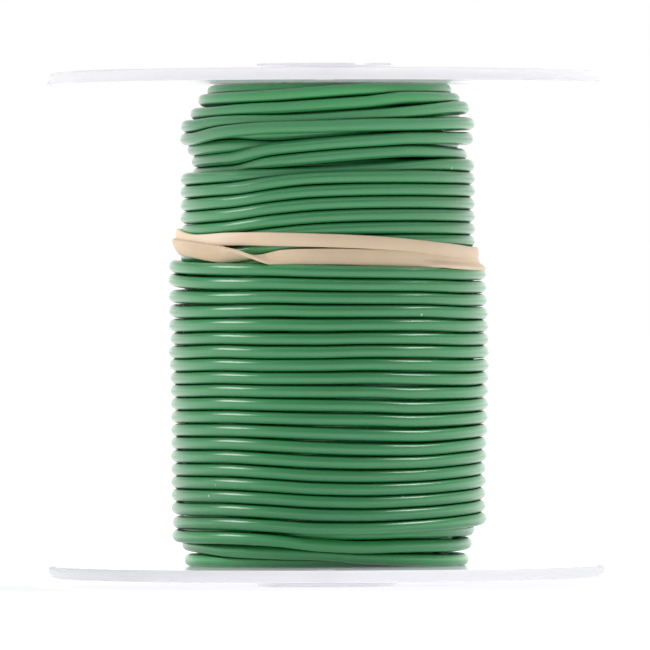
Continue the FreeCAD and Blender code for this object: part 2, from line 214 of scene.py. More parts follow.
def settle(heights, radii, freedom, rounds=30):
    """Pushes turns apart that come nearer than one wire, those with more freedom moving more."""
    share = freedom[:, None] / (freedom[:, None] + freedom[None, :])
    for _ in range(rounds):
        up = heights[:, None, :] - heights[None, :, :]
        out = radii[:, None, :] - radii[None, :, :]
        distance = np.sqrt(up**2 + out**2) + 1e-6  # never zero, since it divides
        short = np.clip(WIRE - distance, 0, None)
        short[np.arange(len(freedom)), np.arange(len(freedom))] = 0
        push = short / distance * share[:, :, None] * PUSH
        for values, toward in ((heights, up), (radii, out)):
            moved = np.pad((push * toward).sum(1).ravel(), len(SPREAD) // 2, mode="edge")
            values += np.convolve(moved, SPREAD, "valid").reshape(values.shape)
        np.clip(heights, LOWER_FACE + WIRE / 2, UPPER_FACE - WIRE / 2, out=heights)
    return heights, radii


FRONT = np.radians(np.arange(STEPS) * 360 / STEPS - 180)
SECOND_CLIMB = np.array(UPPER_HEIGHTS[0]) - UPPER_HEIGHTS[0][-1]
second_count = 21
second_pitch = 2.078
second_start = UPPER_HEIGHTS[0][-1] - second_pitch * second_count
hidden_heights = lay(
    UPPER_PLACES,
    [
        START_HEIGHTS,
        *steady_rows(second_count, second_start, second_pitch, SECOND_CLIMB),
        *UPPER_HEIGHTS,
    ],
)
hidden_radii = lay(
    UPPER_PLACES,
    [START_RADII, *[(SECOND_RADIUS,) * len(UPPER_PLACES)] * second_count, *UPPER_RADII],
)
sideways = np.sin(np.radians(OUTER_PLACES))
outer_heights = lay(OUTER_PLACES, OUTER_HEIGHTS)
outer_radii = lay(
    OUTER_PLACES,
    [(left + right) / 2 + (right - left) / 2 * sideways for left, right in OUTER_REACH] + list(SUNK_RADII),
)
third_count = 36
third_start = 77.6
third_pitch = -2.09
third_heights = lay((-75, 0, 75), steady_rows(third_count, third_start, third_pitch, (0.0, 0.0, 0.0)))
third_radii = np.interp(third_heights, THIRD_HEIGHTS, THIRD_RADII)
loose_heights = lay(UPPER_PLACES, LOOSE_HEIGHTS, 0)
loose_radii = lay(UPPER_PLACES, LOOSE_RADII, 0)

# The whole winding sits a little to the right of the spool's axis.
hidden_radii += OFF_AXIS * np.sin(FRONT)
third_radii += INNER_OFF_AXIS * np.sin(FRONT)
loose_radii += INNER_OFF_AXIS * np.sin(FRONT)

groups = (outer_heights, hidden_heights, third_heights, loose_heights)
counts = [len(group) for group in groups]
freedom = np.concatenate(
    [
        np.full(len(outer_heights), MEASURED),
        np.full(second_count + 1, HIDDEN),
        np.full(len(UPPER_HEIGHTS), MEASURED),
        np.full(third_count, THIRD),
        np.full(len(LOOSE_HEIGHTS), LOOSE),
    ]
)
heights, radii = settle(
    np.concatenate(groups),
    np.concatenate((outer_radii, hidden_radii, third_radii, loose_radii)),
    freedom,
)
edges = np.cumsum(counts)[:-1]
outer_heights, hidden_heights, third_heights, loose_heights = np.split(heights, edges)
outer_radii, hidden_radii, third_radii, loose_radii = np.split(radii, edges)

dive = np.clip((np.abs(np.degrees(FRONT)) - DIVE_FROM) / DIVE_OVER, 0, 1)
loose_radii -= DIVE_DEPTH * dive**2 * (3 - 2 * dive)


def on_drum(place, radius, height):
    """Point in metres at an angle in degrees from the middle of the front, right being positive."""
    way = np.radians(np.asarray(place, float) - 90)
    return np.stack((radius * np.cos(way), radius * np.sin(way), height * np.ones_like(way)), -1) * MM


def strand_points(heights, radii, start=0, stop=None):
    """Points along one strand of the winding, from one station to another."""
    count = heights.size
    place = np.arange(count) * 360 / STEPS - 180
    return on_drum(place, radii.ravel(), heights.ravel())[start:stop]


# Small helpers for node trees

# Sockets of a Mix node: its two colours and the mixed colour, and its two plain values
FIRST_COLOUR, SECOND_COLOUR, MIXED = 6, 7, 2
FIRST_VALUE, SECOND_VALUE = 2, 3


def add(tree, kind, inputs=None, **settings):
    """Adds a node with its settings, its input values and its links."""
    made = tree.nodes.new(kind)
    for name, value in settings.items():
        setattr(made, name, value)
    for name, value in (inputs or {}).items():
        socket = made.inputs[name]
        if isinstance(value, bpy.types.NodeSocket):
            tree.links.new(value, socket)
        else:
            socket.default_value = value
    return made


def colour(hex_code):
    """Linear colour of an sRGB hex code."""
    parts = [int(hex_code[i : i + 2], 16) / 255 for i in (1, 3, 5)]
    return (*[c / 12.92 if c <= 0.04045 else ((c + 0.055) / 1.055) ** 2.4 for c in parts], 1.0)


def new_material(name):
    """Empty material with its tree and output."""
    material = bpy.data.materials.new(name)
    material.use_nodes = True
    tree = material.node_tree
    tree.nodes.clear()
    return material, tree, tree.nodes.new("ShaderNodeOutputMaterial")


# Materials


def extruded_pvc():
    """PVC insulation, extruded: even green with faint die lines along the wire and a soft gloss, with
    painted shade in the grooves and painted light next to the flanges.
    """
    material, tree, output = new_material("extruded_pvc_green")
    where = add(tree, "ShaderNodeTexCoord").outputs["Object"]
    along = add(tree, "ShaderNodeAttribute", attribute_name="along").outputs["Fac"]
    around = add(tree, "ShaderNodeAttribute", attribute_name="around").outputs["Fac"]
    drawn = add(tree, "ShaderNodeCombineXYZ", {0: along, 1: around})
    # die lines: a twentieth of the way round, and some 30 mm long
    stretched = add(
        tree, "ShaderNodeVectorMath", {0: drawn.outputs[0], 1: (33.0, 20.0, 1.0)}, operation="MULTIPLY"
    )
    die_lines = add(
        tree, "ShaderNodeTexNoise", {"Vector": stretched.outputs[0], "Scale": 1.0, "Detail": 2.0}
    )
    # cloudy pigment, clouds of about 8 mm
    clouds = add(tree, "ShaderNodeTexNoise", {"Vector": where, "Scale": 120.0, "Detail": 3.0})
    tint = add(
        tree,
        "ShaderNodeMix",
        {0: clouds.outputs["Fac"], FIRST_COLOUR: colour("#33834b"), SECOND_COLOUR: colour("#3d9458")},
        data_type="RGBA",
    )
    lines_tint = add(
        tree,
        "ShaderNodeMix",
        {0: die_lines.outputs["Fac"], FIRST_COLOUR: tint.outputs[MIXED], SECOND_COLOUR: colour("#489e64")},
        data_type="RGBA",
    )
    # dust: pale specks of about 0.4 mm, here and there
    dust = add(tree, "ShaderNodeTexVoronoi", {"Vector": where, "Scale": 420.0})
    off_speck = dust.outputs["Distance"]
    speck = add(
        tree,
        "ShaderNodeMapRange",
        {"Value": off_speck, "From Min": 0.06, "From Max": 0.12, "To Min": 1.0, "To Max": 0.0},
    )
    rare = add(tree, "ShaderNodeTexNoise", {"Vector": where, "Scale": 260.0})
    chosen = add(tree, "ShaderNodeMath", {0: rare.outputs["Fac"], 1: 0.66}, operation="GREATER_THAN")
    dusty = add(tree, "ShaderNodeMath", {0: speck.outputs[0], 1: chosen.outputs[0]}, operation="MULTIPLY")
    base = add(
        tree,
        "ShaderNodeMix",
        {0: dusty.outputs[0], FIRST_COLOUR: lines_tint.outputs[MIXED], SECOND_COLOUR: colour("#b9cdbb")},
        data_type="RGBA",
    )
    # painted light: over the last 7 mm before each flange the green is painted brighter, standing in for
    # light that the white flanges throw back onto the turns
    height = add(tree, "ShaderNodeSeparateXYZ", {0: where}).outputs["Z"]
    lift = add(tree, "ShaderNodeMath", {0: height, 1: AXIS_HALF * MM}, operation="SUBTRACT")
    off_middle = add(tree, "ShaderNodeMath", {0: lift.outputs[0]}, operation="ABSOLUTE")
    beside = add(
        tree,
        "ShaderNodeMapRange",
        {"Value": off_middle.outputs[0], "From Min": 0.031, "From Max": 0.038, "To Min": 0.0, "To Max": 1.0},
    )
    painted_flange_light = add(
        tree,
        "ShaderNodeMix",
        {0: beside.outputs[0], FIRST_COLOUR: base.outputs[MIXED], SECOND_COLOUR: colour("#4ab467")},
        data_type="RGBA",
    )
    # painted shade: the grooves between the turns, where they touch, are darkened towards a deep green on
    # top of their rendered shade
    groove = add(tree, "ShaderNodeAmbientOcclusion", {"Distance": 0.0012}, samples=6, only_local=True)
    shade = add(
        tree,
        "ShaderNodeMapRange",
        {"Value": groove.outputs["AO"], "From Min": 0.3, "From Max": 0.62, "To Min": 1.0, "To Max": 0.0},
        interpolation_type="SMOOTHSTEP",
    )
    painted_groove_shade = add(
        tree,
        "ShaderNodeMix",
        {0: shade.outputs[0], FIRST_COLOUR: painted_flange_light.outputs[MIXED], SECOND_COLOUR: colour("#0b481a")},
        data_type="RGBA",
    )
    gloss = add(
        tree,
        "ShaderNodeMapRange",
        {"Value": die_lines.outputs["Fac"], "To Min": 0.18, "To Max": 0.28},
    )
    bump = add(
        tree,
        "ShaderNodeBump",
        {"Height": die_lines.outputs["Fac"], "Strength": 0.08, "Distance": 0.00005},
    )
    shader = add(
        tree,
        "ShaderNodeBsdfPrincipled",
        {
            "Base Color": painted_groove_shade.outputs[MIXED],
            "Roughness": gloss.outputs[0],
            "Normal": bump.outputs[0],
            "IOR": 1.54,
            "Coat Weight": 0.3,
            "Coat Roughness": 0.35,
            "Coat IOR": 1.5,
        },
    )
    tree.links.new(shader.outputs[0], output.inputs[0])
    return material


def moulded_polystyrene():
    """High-impact polystyrene, injection moulded: cold white, glossy, with the faint flow of the mould."""
    material, tree, output = new_material("moulded_polystyrene_white")
    where = add(tree, "ShaderNodeTexCoord").outputs["Object"]
    flow = add(tree, "ShaderNodeTexNoise", {"Vector": where, "Scale": 35.0, "Detail": 2.0})
    tint = add(
        tree,
        "ShaderNodeMix",
        {0: flow.outputs["Fac"], FIRST_COLOUR: colour("#dbd7e7"), SECOND_COLOUR: colour("#e1dded")},
        data_type="RGBA",
    )
    # the rims, from 43.3 mm outwards, are dulled by rolling on benches
    flat = add(tree, "ShaderNodeVectorMath", {0: where, 1: (1.0, 1.0, 0.0)}, operation="MULTIPLY")
    reach = add(tree, "ShaderNodeVectorMath", {0: flat.outputs[0]}, operation="LENGTH").outputs["Value"]
    rim = add(
        tree,
        "ShaderNodeMapRange",
        {"Value": reach, "From Min": 0.0433, "From Max": 0.044, "To Min": 0.0, "To Max": 0.55},
    )
    # scuffs from handling: hairlines about 0.1 mm wide, drawn at 0.5 mm so that they show
    scuffed = add(
        tree,
        "ShaderNodeMapping",
        {"Vector": where, "Rotation": (0.0, 0.0, 0.6), "Scale": (60.0, 900.0, 60.0)},
    )
    scuffs = add(tree, "ShaderNodeTexNoise", {"Vector": scuffed.outputs[0], "Scale": 1.0, "Detail": 2.0})
    gloss = add(
        tree,
        "ShaderNodeMapRange",
        {"Value": scuffs.outputs["Fac"], "From Min": 0.35, "From Max": 0.75, "To Min": 0.1, "To Max": 0.2},
    )
    worn = add(tree, "ShaderNodeMath", {0: gloss.outputs[0], 1: rim.outputs[0]}, operation="ADD")
    bump = add(
        tree, "ShaderNodeBump", {"Height": flow.outputs["Fac"], "Strength": 0.15, "Distance": 0.0001}
    )
    shader = add(
        tree,
        "ShaderNodeBsdfPrincipled",
        {
            "Base Color": tint.outputs[MIXED],
            "Roughness": worn.outputs[0],
            "Normal": bump.outputs[0],
            "IOR": 1.59,
            "Subsurface Weight": 1.0,
            "Subsurface Radius": (1.0, 0.95, 0.95),
            "Subsurface Scale": 0.016,
            "Specular IOR Level": 0.3,
        },
    )
    tree.links.new(shader.outputs[0], output.inputs[0])
    return material


def natural_rubber():
    """Natural rubber, extruded as a tube and cut into bands: tan, matt, powdered with talc."""
    material, tree, output = new_material("cut_natural_rubber")
    where = add(tree, "ShaderNodeTexCoord").outputs["Object"]
    along = add(tree, "ShaderNodeAttribute", attribute_name="along").outputs["Fac"]
    across = add(tree, "ShaderNodeAttribute", attribute_name="across").outputs["Fac"]
    strip = add(tree, "ShaderNodeCombineXYZ", {0: along, 1: across})
    # stretch lines along the band, about 0.3 mm apart
    stretched = add(
        tree, "ShaderNodeVectorMath", {0: strip.outputs[0], 1: (90.0, 3300.0, 1.0)}, operation="MULTIPLY"
    )
    lines = add(
        tree, "ShaderNodeTexNoise", {"Vector": stretched.outputs[0], "Scale": 1.0, "Detail": 3.0}
    )
    blotches = add(tree, "ShaderNodeTexNoise", {"Vector": where, "Scale": 260.0, "Detail": 4.0})
    tint = add(
        tree,
        "ShaderNodeMix",
        {0: blotches.outputs["Fac"], FIRST_COLOUR: colour("#e1c4a4"), SECOND_COLOUR: colour("#f5e0c3")},
        data_type="RGBA",
    )
    base = add(
        tree,
        "ShaderNodeMix",
        {0: lines.outputs["Fac"], FIRST_COLOUR: tint.outputs[MIXED], SECOND_COLOUR: colour("#f3d9b9")},
        data_type="RGBA",
    )
    # rubber pales where it is stretched, and is darker where it lies slack; the same tone also holds painted
    # light and painted shade, paler where the band's face catches light and darker where it turns down, away
    # from it
    tone = add(tree, "ShaderNodeAttribute", attribute_name="tone").outputs["Fac"]
    for full, share, tinge in ((1.0, 0.5, "#fbead6"), (-1.0, 0.45, "#b89c7c")):
        amount = add(
            tree, "ShaderNodeMapRange", {"Value": tone, "From Min": 0.0, "From Max": full, "To Max": share}
        )
        base = add(
            tree,
            "ShaderNodeMix",
            {0: amount.outputs[0], FIRST_COLOUR: base.outputs[MIXED], SECOND_COLOUR: colour(tinge)},
            data_type="RGBA",
        )
    bump = add(
        tree, "ShaderNodeBump", {"Height": lines.outputs["Fac"], "Strength": 0.3, "Distance": 0.00008}
    )
    shader = add(
        tree,
        "ShaderNodeBsdfPrincipled",
        {
            "Base Color": base.outputs[MIXED],
            "Normal": bump.outputs[0],
            "Roughness": 0.62,
            "IOR": 1.52,
            "Subsurface Weight": 0.2,
            "Subsurface Radius": (0.0012, 0.0008, 0.0005),
        },
    )
    tree.links.new(shader.outputs[0], output.inputs[0])
    return material


def drawn_copper():
    """Copper, drawn into fine strands: bright and reddish, a little dulled by air."""
    material, tree, output = new_material("drawn_copper")
    where = add(tree, "ShaderNodeTexCoord").outputs["Object"]
    dull = add(tree, "ShaderNodeTexNoise", {"Vector": where, "Scale": 1500.0, "Detail": 2.0})
    tint = add(
        tree,
        "ShaderNodeMix",
        {0: dull.outputs["Fac"], FIRST_COLOUR: colour("#b4704c"), SECOND_COLOUR: colour("#d79a74")},
        data_type="RGBA",
    )
    gloss = add(
        tree, "ShaderNodeMapRange", {"Value": dull.outputs["Fac"], "To Min": 0.22, "To Max": 0.42}
    )
    shader = add(
        tree,
        "ShaderNodeBsdfPrincipled",
        {"Base Color": tint.outputs[MIXED], "Roughness": gloss.outputs[0], "Metallic": 1.0},
    )
    tree.links.new(shader.outputs[0], output.inputs[0])
    return material


def studio_sweep():
    """White card under the spool, matt and also glowing: plain white, with the spool's soft shadow close to
    it; its glow lights the spool from below like a lamp.
    """
    material, tree, output = new_material("white_card")
    path = add(tree, "ShaderNodeLightPath")
    where = add(tree, "ShaderNodeTexCoord").outputs["Object"]
    far = add(tree, "ShaderNodeVectorMath", {0: where}, operation="LENGTH")
    # for the camera the card's glow is weaker close to the spool, so that the spool's shadow shows there
    shown = add(
        tree,
        "ShaderNodeMapRange",
        {"Value": far.outputs["Value"], "From Min": 0.1, "From Max": 0.35, "To Min": 0.66, "To Max": 0.88},
        interpolation_type="SMOOTHSTEP",
    )
    card = None
    # the card glows for every kind of ray, so its glow also lights the spool from below, like a lamp
    for kind, tone, strength in (
        (None, "#959595", 0.72),
        ("Is Glossy Ray", "#bcbcbc", 0.9),
        ("Is Transmission Ray", "#bcbcbc", 0.9),
        ("Is Camera Ray", "#bcbcbc", shown.outputs[0]),
    ):
        matt = add(tree, "ShaderNodeBsdfDiffuse", {"Color": colour(tone)})
        glow = add(tree, "ShaderNodeEmission", {"Color": (1, 1, 1, 1), "Strength": strength})
        lit = add(tree, "ShaderNodeAddShader", {0: matt.outputs[0], 1: glow.outputs[0]})
        if card:
            lit = add(
                tree, "ShaderNodeMixShader", {0: path.outputs[kind], 1: card.outputs[0], 2: lit.outputs[0]}
            )
        card = lit
    tree.links.new(card.outputs[0], output.inputs[0])
    return material


PVC = extruded_pvc()
POLYSTYRENE = moulded_polystyrene()
RUBBER = natural_rubber()
COPPER = drawn_copper()


# Pieces made by geometry nodes

SIDES, HIDDEN_SIDES = 20, 10      # sides of the wire that shows and of the wire beneath it
STRAND_TWIST = 0.14               # turns that the copper strands make over their bare length
STRAND_SHARE = 0.93               # strands drawn a little thinner, so that the bundle fits its CAD cylinder

def tree_inputs(name, inputs):
    """New geometry tree with a geometry input and output and the named inputs given."""
    tree = bpy.data.node_groups.new(name, "GeometryNodeTree")
    tree.interface.new_socket("Geometry", in_out="INPUT", socket_type="NodeSocketGeometry")
    for label, kind, value in inputs:
        socket = tree.interface.new_socket(label, in_out="INPUT", socket_type=kind)
        if value is not None:
            socket.default_value = value
    tree.interface.new_socket("Geometry", in_out="OUTPUT", socket_type="NodeSocketGeometry")
    return tree, tree.nodes.new("NodeGroupInput"), tree.nodes.new("NodeGroupOutput")


def finish_tree(tree, group_in, group_out, geometry):
    """Ends a tree: instances made real, shaded smooth, material set."""
    real = add(tree, "GeometryNodeRealizeInstances", {"Geometry": geometry})
    smooth = add(tree, "GeometryNodeSetShadeSmooth", {"Geometry": real.outputs[0]})
    dressed = add(
        tree,
        "GeometryNodeSetMaterial",
        {"Geometry": smooth.outputs[0], "Material": group_in.outputs["Material"]},
    )
    tree.links.new(dressed.outputs[0], group_out.inputs[0])


def wire_tree():
    """A round wire along each line of the mesh, its end faces closed."""
    tree, group_in, group_out = tree_inputs(
        "laid_wire",
        (
            ("Diameter", "NodeSocketFloat", WIRE * MM),
            ("Sides", "NodeSocketInt", SIDES),
            ("Material", "NodeSocketMaterial", None),
        ),
    )
    line = add(tree, "GeometryNodeMeshToCurve", {"Mesh": group_in.outputs["Geometry"]})
    upright = add(tree, "GeometryNodeSetCurveNormal", {"Curve": line.outputs[0]}, mode="Z_UP")
    radius = add(tree, "ShaderNodeMath", {0: group_in.outputs["Diameter"], 1: 0.5}, operation="MULTIPLY")
    section = add(
        tree,
        "GeometryNodeCurvePrimitiveCircle",
        {"Resolution": group_in.outputs["Sides"], "Radius": radius.outputs[0]},
    )
    place = add(tree, "GeometryNodeSplineParameter")
    marked = add(
        tree,
        "GeometryNodeStoreNamedAttribute",
        {"Geometry": section.outputs[0], "Name": "around", "Value": place.outputs["Factor"]},
        data_type="FLOAT",
        domain="POINT",
    )
    swept = add(
        tree,
        "GeometryNodeCurveToMesh",
        {"Curve": upright.outputs[0], "Profile Curve": marked.outputs[0], "Fill Caps": True},
    )
    finish_tree(tree, group_in, group_out, swept.outputs[0])
    return tree


def strand_tree():
    """Twisted conductor: rings of fine strands round one in the middle."""
    tree, group_in, group_out = tree_inputs(
        "twisted_strands",
        (
            ("Strand", "NodeSocketFloat", STRAND * MM),
            ("Length", "NodeSocketFloat", BARE_LENGTH * MM),
            ("Turns", "NodeSocketFloat", STRAND_TWIST),
            ("Material", "NodeSocketMaterial", None),
        ),
    )
    join = tree.nodes.new("GeometryNodeJoinGeometry")
    radius = add(tree, "ShaderNodeMath", {0: group_in.outputs["Strand"], 1: 0.5}, operation="MULTIPLY")
    section = add(
        tree, "GeometryNodeCurvePrimitiveCircle", {"Resolution": 10, "Radius": radius.outputs[0]}
    )
    # rings of 1, 5 and 10 strands, each ring's radius in strand diameters
    for count, ring in ((1, 0.001), (5, 0.88), (10, 1.86)):
        reach = add(tree, "ShaderNodeMath", {0: group_in.outputs["Strand"], 1: ring}, operation="MULTIPLY")
        helix = add(
            tree,
            "GeometryNodeCurveSpiral",
            {
                "Resolution": 24,
                "Rotations": group_in.outputs["Turns"],
                "Start Radius": reach.outputs[0],
                "End Radius": reach.outputs[0],
                "Height": group_in.outputs["Length"],
            },
        )
        swept = add(
            tree,
            "GeometryNodeCurveToMesh",
            {"Curve": helix.outputs[0], "Profile Curve": section.outputs[0], "Fill Caps": True},
        )
        points = add(tree, "GeometryNodePoints", {"Count": count})
        number = add(tree, "GeometryNodeInputIndex")
        turn = add(
            tree, "ShaderNodeMath", {0: number.outputs[0], 1: 2 * math.pi / count}, operation="MULTIPLY"
        )
        turned = add(tree, "ShaderNodeCombineXYZ", {"Z": turn.outputs[0]})
        copies = add(
            tree,
            "GeometryNodeInstanceOnPoints",
            {"Points": points.outputs[0], "Instance": swept.outputs[0], "Rotation": turned.outputs[0]},
        )
        tree.links.new(copies.outputs[0], join.inputs[0])
    finish_tree(tree, group_in, group_out, join.outputs[0])
    return tree


def grow(name, mesh, tree, values):
    """Runs a tree on a mesh and keeps the result as a plain mesh object."""
    seed = bpy.data.objects.new(f"{name}_seed", mesh)
    bpy.context.scene.collection.objects.link(seed)
    modifier = seed.modifiers.new("grow", "NODES")
    modifier.node_group = tree
    sockets = {item.name: item.identifier for item in tree.interface.items_tree if item.in_out == "INPUT"}
    for label, value in values.items():
        modifier[sockets[label]] = value
    grown = bpy.data.meshes.new_from_object(seed.evaluated_get(bpy.context.evaluated_depsgraph_get()))
    seed.modifiers.remove(modifier)
    bpy.data.objects.remove(seed)
    grown.name = name
    made = bpy.data.objects.new(name, grown)
    bpy.context.scene.collection.objects.link(made)
    return made


def lines_mesh(name, strands):
    """Mesh of loose lines, each point marked with its length along its own line, in metres."""
    mesh = bpy.data.meshes.new(name)
    points = np.concatenate(strands)
    edges, along, base = [], [], 0
    for strand in strands:
        edges += [(base + i, base + i + 1) for i in range(len(strand) - 1)]
        steps = np.linalg.norm(np.diff(strand, axis=0), axis=1)
        along.append(np.concatenate(([0.0], np.cumsum(steps))))
        base += len(strand)
    mesh.from_pydata(points.tolist(), edges, [])
    mark = mesh.attributes.new("along", "FLOAT", "POINT")
    mark.data.foreach_set("value", np.concatenate(along).astype(np.float32))
    return mesh


def keep(piece, node):
    """Lets a piece ride on the spool in place of its CAD node, which it hides."""
    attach(piece, "root")
    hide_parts(node)


laid = wire_tree()

# The wire's outer end, in its CAD place: up under the band, then the bare copper
TAIL_RADIUS, TAIL_SLOPE = 24.575, math.radians(60)
TAIL_BASE = 4                     # the first station of the outer layer that isn't the tail
TAIL_POINTS = 40
TAIL_LEAVES, TAIL_ARRIVES = 8, 7  # how straight the bend starts and ends, in millimetres
copper_low, copper_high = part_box("conductor")
copper_middle = (copper_low + copper_high) / 2 / MM
way_round = math.atan2(copper_middle.x, -copper_middle.y)
if way_round > 0:
    way_round -= 2 * math.pi
half_rise = BARE_LENGTH / 2 * math.sin(TAIL_SLOPE)
half_turn = BARE_LENGTH / 2 * math.cos(TAIL_SLOPE) / TAIL_RADIUS
tip_place, tip_height = math.degrees(way_round + half_turn), copper_middle.z - half_rise


def tail_points():
    """The wire's end from its cut tip, in a smooth bend down into the outer layer."""
    base_place = TAIL_BASE * 360 / STEPS - 180
    one_degree = math.radians(1) * TAIL_RADIUS
    tip = np.array((tip_place * one_degree, tip_height))
    base = np.array((base_place * one_degree, outer_heights[0, TAIL_BASE]))
    leaving = tip + TAIL_LEAVES * np.array((math.cos(TAIL_SLOPE), -math.sin(TAIL_SLOPE)))
    arriving = base - (TAIL_ARRIVES, 0)
    t = np.linspace(0, 1, TAIL_POINTS)[:-1, None]
    line = (1 - t) ** 3 * tip + 3 * t * (1 - t) ** 2 * leaving + 3 * t**2 * (1 - t) * arriving + t**3 * base
    radius = TAIL_RADIUS + (outer_radii[0, TAIL_BASE] - TAIL_RADIUS) * t[:, 0] ** 2
    return on_drum(line[:, 0] / one_degree, radius, line[:, 1])


outer_wire = grow(
    "outer_wire",
    lines_mesh(
        "outer_line",
        [np.concatenate((tail_points(), strand_points(outer_heights, outer_radii, TAIL_BASE)))],
    ),
    laid,
    {"Diameter": WIRE * MM, "Sides": SIDES, "Material": PVC},
)
keep(outer_wire, "outer_turns")

visible_from = (second_count - 1) * STEPS
upper_wire = grow(
    "upper_wire",
    lines_mesh("upper_line", [strand_points(hidden_heights, hidden_radii, visible_from)]),
    laid,
    {"Diameter": WIRE * MM, "Sides": SIDES, "Material": PVC},
)
keep(upper_wire, "upper_turns")

loose_front = [STEPS // 8, STEPS - STEPS // 8]
inner_strands = [
    strand_points(hidden_heights, hidden_radii, 0, visible_from + 1),
    strand_points(third_heights, third_radii),
    strand_points(loose_heights[:1], loose_radii[:1], *loose_front),
    strand_points(loose_heights[1:], loose_radii[1:], *loose_front),
]
inner_wire = grow(
    "inner_wire",
    lines_mesh("inner_line", inner_strands),
    laid,
    {"Diameter": WIRE * MM, "Sides": HIDDEN_SIDES, "Material": PVC},
)


# The corners of the section of all that lies under the third layer: radius and height
SLEEVE = (
    (12.8, 3.4), (15.5, 3.4), (17.5, 6.0), (19.2, 10.0), (19.2, 63.0), (17.5, 66.0),
    (17.5, 74.0), (14.5, 79.0), (14.5, 80.1), (12.8, 80.1),
)


def sleeve():
    """Everything under the third layer, as one plain body of wire round the barrel."""
    build = bmesh.new()
    ring = [build.verts.new((radius * MM, 0, height * MM)) for radius, height in SLEEVE]
    edges = [build.edges.new((ring[i], ring[(i + 1) % len(ring)])) for i in range(len(ring))]
    bmesh.ops.spin(
        build,
        geom=ring + edges,
        cent=(0, 0, 0),
        axis=(0, 0, 1),
        angle=2 * math.pi,
        steps=STEPS,
        use_merge=True,
    )
    bmesh.ops.remove_doubles(build, verts=build.verts, dist=1e-7)
    bmesh.ops.recalc_face_normals(build, faces=build.faces)
    mesh = bpy.data.meshes.new("sleeve")
    build.to_mesh(mesh)
    build.free()
    return mesh


def join_mesh(piece, other):
    """Adds another mesh to a piece's own."""
    build = bmesh.new()
    build.from_mesh(piece.data)
    build.from_mesh(other)
    for face in build.faces:
        face.smooth = True
    build.to_mesh(piece.data)
    build.free()


join_mesh(inner_wire, sleeve())
keep(inner_wire, "winding_core")

copper = grow(
    "copper_strands",
    lines_mesh("copper_line", [np.zeros((2, 3))]),
    strand_tree(),
    {
        "Strand": STRAND * MM * STRAND_SHARE,
        "Length": BARE_LENGTH * MM,
        "Turns": STRAND_TWIST,
        "Material": COPPER,
    },
)
outward = Vector((math.sin(way_round), -math.cos(way_round), 0))
heading = Vector((outward.y, -outward.x, 0)) * math.cos(TAIL_SLOPE) + Vector((0, 0, math.sin(TAIL_SLOPE)))
turned = Vector((0, 0, 1)).rotation_difference(heading).to_matrix().to_4x4()
middle = (copper_low + copper_high) / 2
copper.data.transform(Matrix.Translation(middle - heading * (BARE_LENGTH / 2) * MM) @ turned)
keep(copper, "conductor")


# The rubber band

# The band's line: place, height, radius, roll in degrees, width and the curl of its lower edge in
# degrees. First the upper round, then the lower with its half twist.
BAND_LINE = (
    (-180, 53.9, 25.95, 0, 2.3, 0),
    (-120, 56.0, 23.95, 0, 2.15, 0),
    (-88, 56.15, 23.62, 0, 2.15, 0),
    (-72, 55.43, 23.55, 0, 2.15, 0),
    (-61, 55.12, 23.55, 0, 2.15, 0),
    (-50, 55.25, 23.6, 0, 2.1, 0),
    (-43, 55.38, 23.65, 0, 2.1, 0),
    (-33, 55.43, 23.7, 0, 2.1, 0),
    (-22, 55.36, 23.75, 0, 2.15, 0),
    (2, 55.08, 23.85, 0, 2.15, 0),
    (18, 54.78, 23.9, 0, 2.15, 0),
    (34, 54.28, 23.95, 0, 2.15, 0),
    (51, 53.68, 24.05, 0, 2.2, 0),
    (77, 53.12, 24.15, 0, 2.1, 0),
    (90, 53.05, 24.2, 0, 2.1, 0),
    (120, 53.25, 24.6, 0, 2.2, 0),
    (180, 53.6, 26.6, 0, 2.3, 0),
    (230, 54.7, 24.8, 10, 2.5, 0),
    (262, 54.4, 23.95, 27, 2.6, 0),
    (272, 54.3, 23.9, 27, 2.6, 0),
    (283, 54.15, 24.05, 22, 2.6, 0),
    (299, 53.75, 24.15, 12, 2.65, 0),
    (309, 53.3, 24.15, 8, 2.75, 0),
    (317, 52.92, 24.15, 20, 2.78, 0),
    (320, 52.84, 24.2, 36, 2.75, 0),
    (323, 52.81, 24.25, 46, 2.66, 0),
    (327.8, 52.73, 24.35, 66, 2.56, 0),
    (331.8, 52.62, 24.4, 87, 2.45, 0),
    (335.5, 52.47, 24.35, 109, 2.4, 0),
    (338.5, 52.42, 24.25, 134, 2.4, 0),
    (344, 52.5, 24.1, 166, 2.45, 0),
    (351, 52.54, 24.05, 180, 2.5, 0),
    (362, 52.55, 24.05, 180, 2.56, 0),
    (378, 52.38, 24.05, 180, 2.6, 0),
    (390, 52.24, 24.08, 178, 2.55, 0),
    (397, 52.15, 24.08, 175, 2.5, 6),
    (403, 51.92, 24.12, 172, 2.6, 38),
    (408, 51.7, 24.15, 169, 2.7, 56),
    (415, 51.48, 24.2, 168, 2.85, 58),
    (428, 51.37, 24.25, 168, 2.9, 55),
    (446, 51.35, 24.35, 168, 2.9, 51),
    (475, 52.1, 24.6, 174, 2.5, 25),
    (505, 53.2, 25.3, 180, 2.4, 0),
    (540, 53.9, 25.95, 180, 2.3, 0),
)
# Its tone along the same places: 1 where it is stretched pale, -1 where it lies slack and dark; the tone
# also holds painted light where the band faces up and painted shade where it faces down
BAND_LIGHT_AND_STRETCH = (
    (-180, 0.0), (-75, 0.2), (-65, 0.4), (-52, 1.0), (-44, 1.0), (-32, 0.2), (40, 0.1), (58, 0.5), (80, 0.4),
    (120, 0.0), (270, -0.4), (290, -0.6), (301, -1.0), (314, -1.0), (322, -0.6), (342, 0.0), (362, -0.3),
    (380, -0.1), (400, 0.0), (420, 0.2), (540, 0.0),
)
BAND_STEPS = 480
CURL_FROM, CURL_OVER = 0.0, 0.35  # where the curl starts, off the band's middle line, and over how much
BOW = 0.2                         # how far the band's edges bend in towards the wire


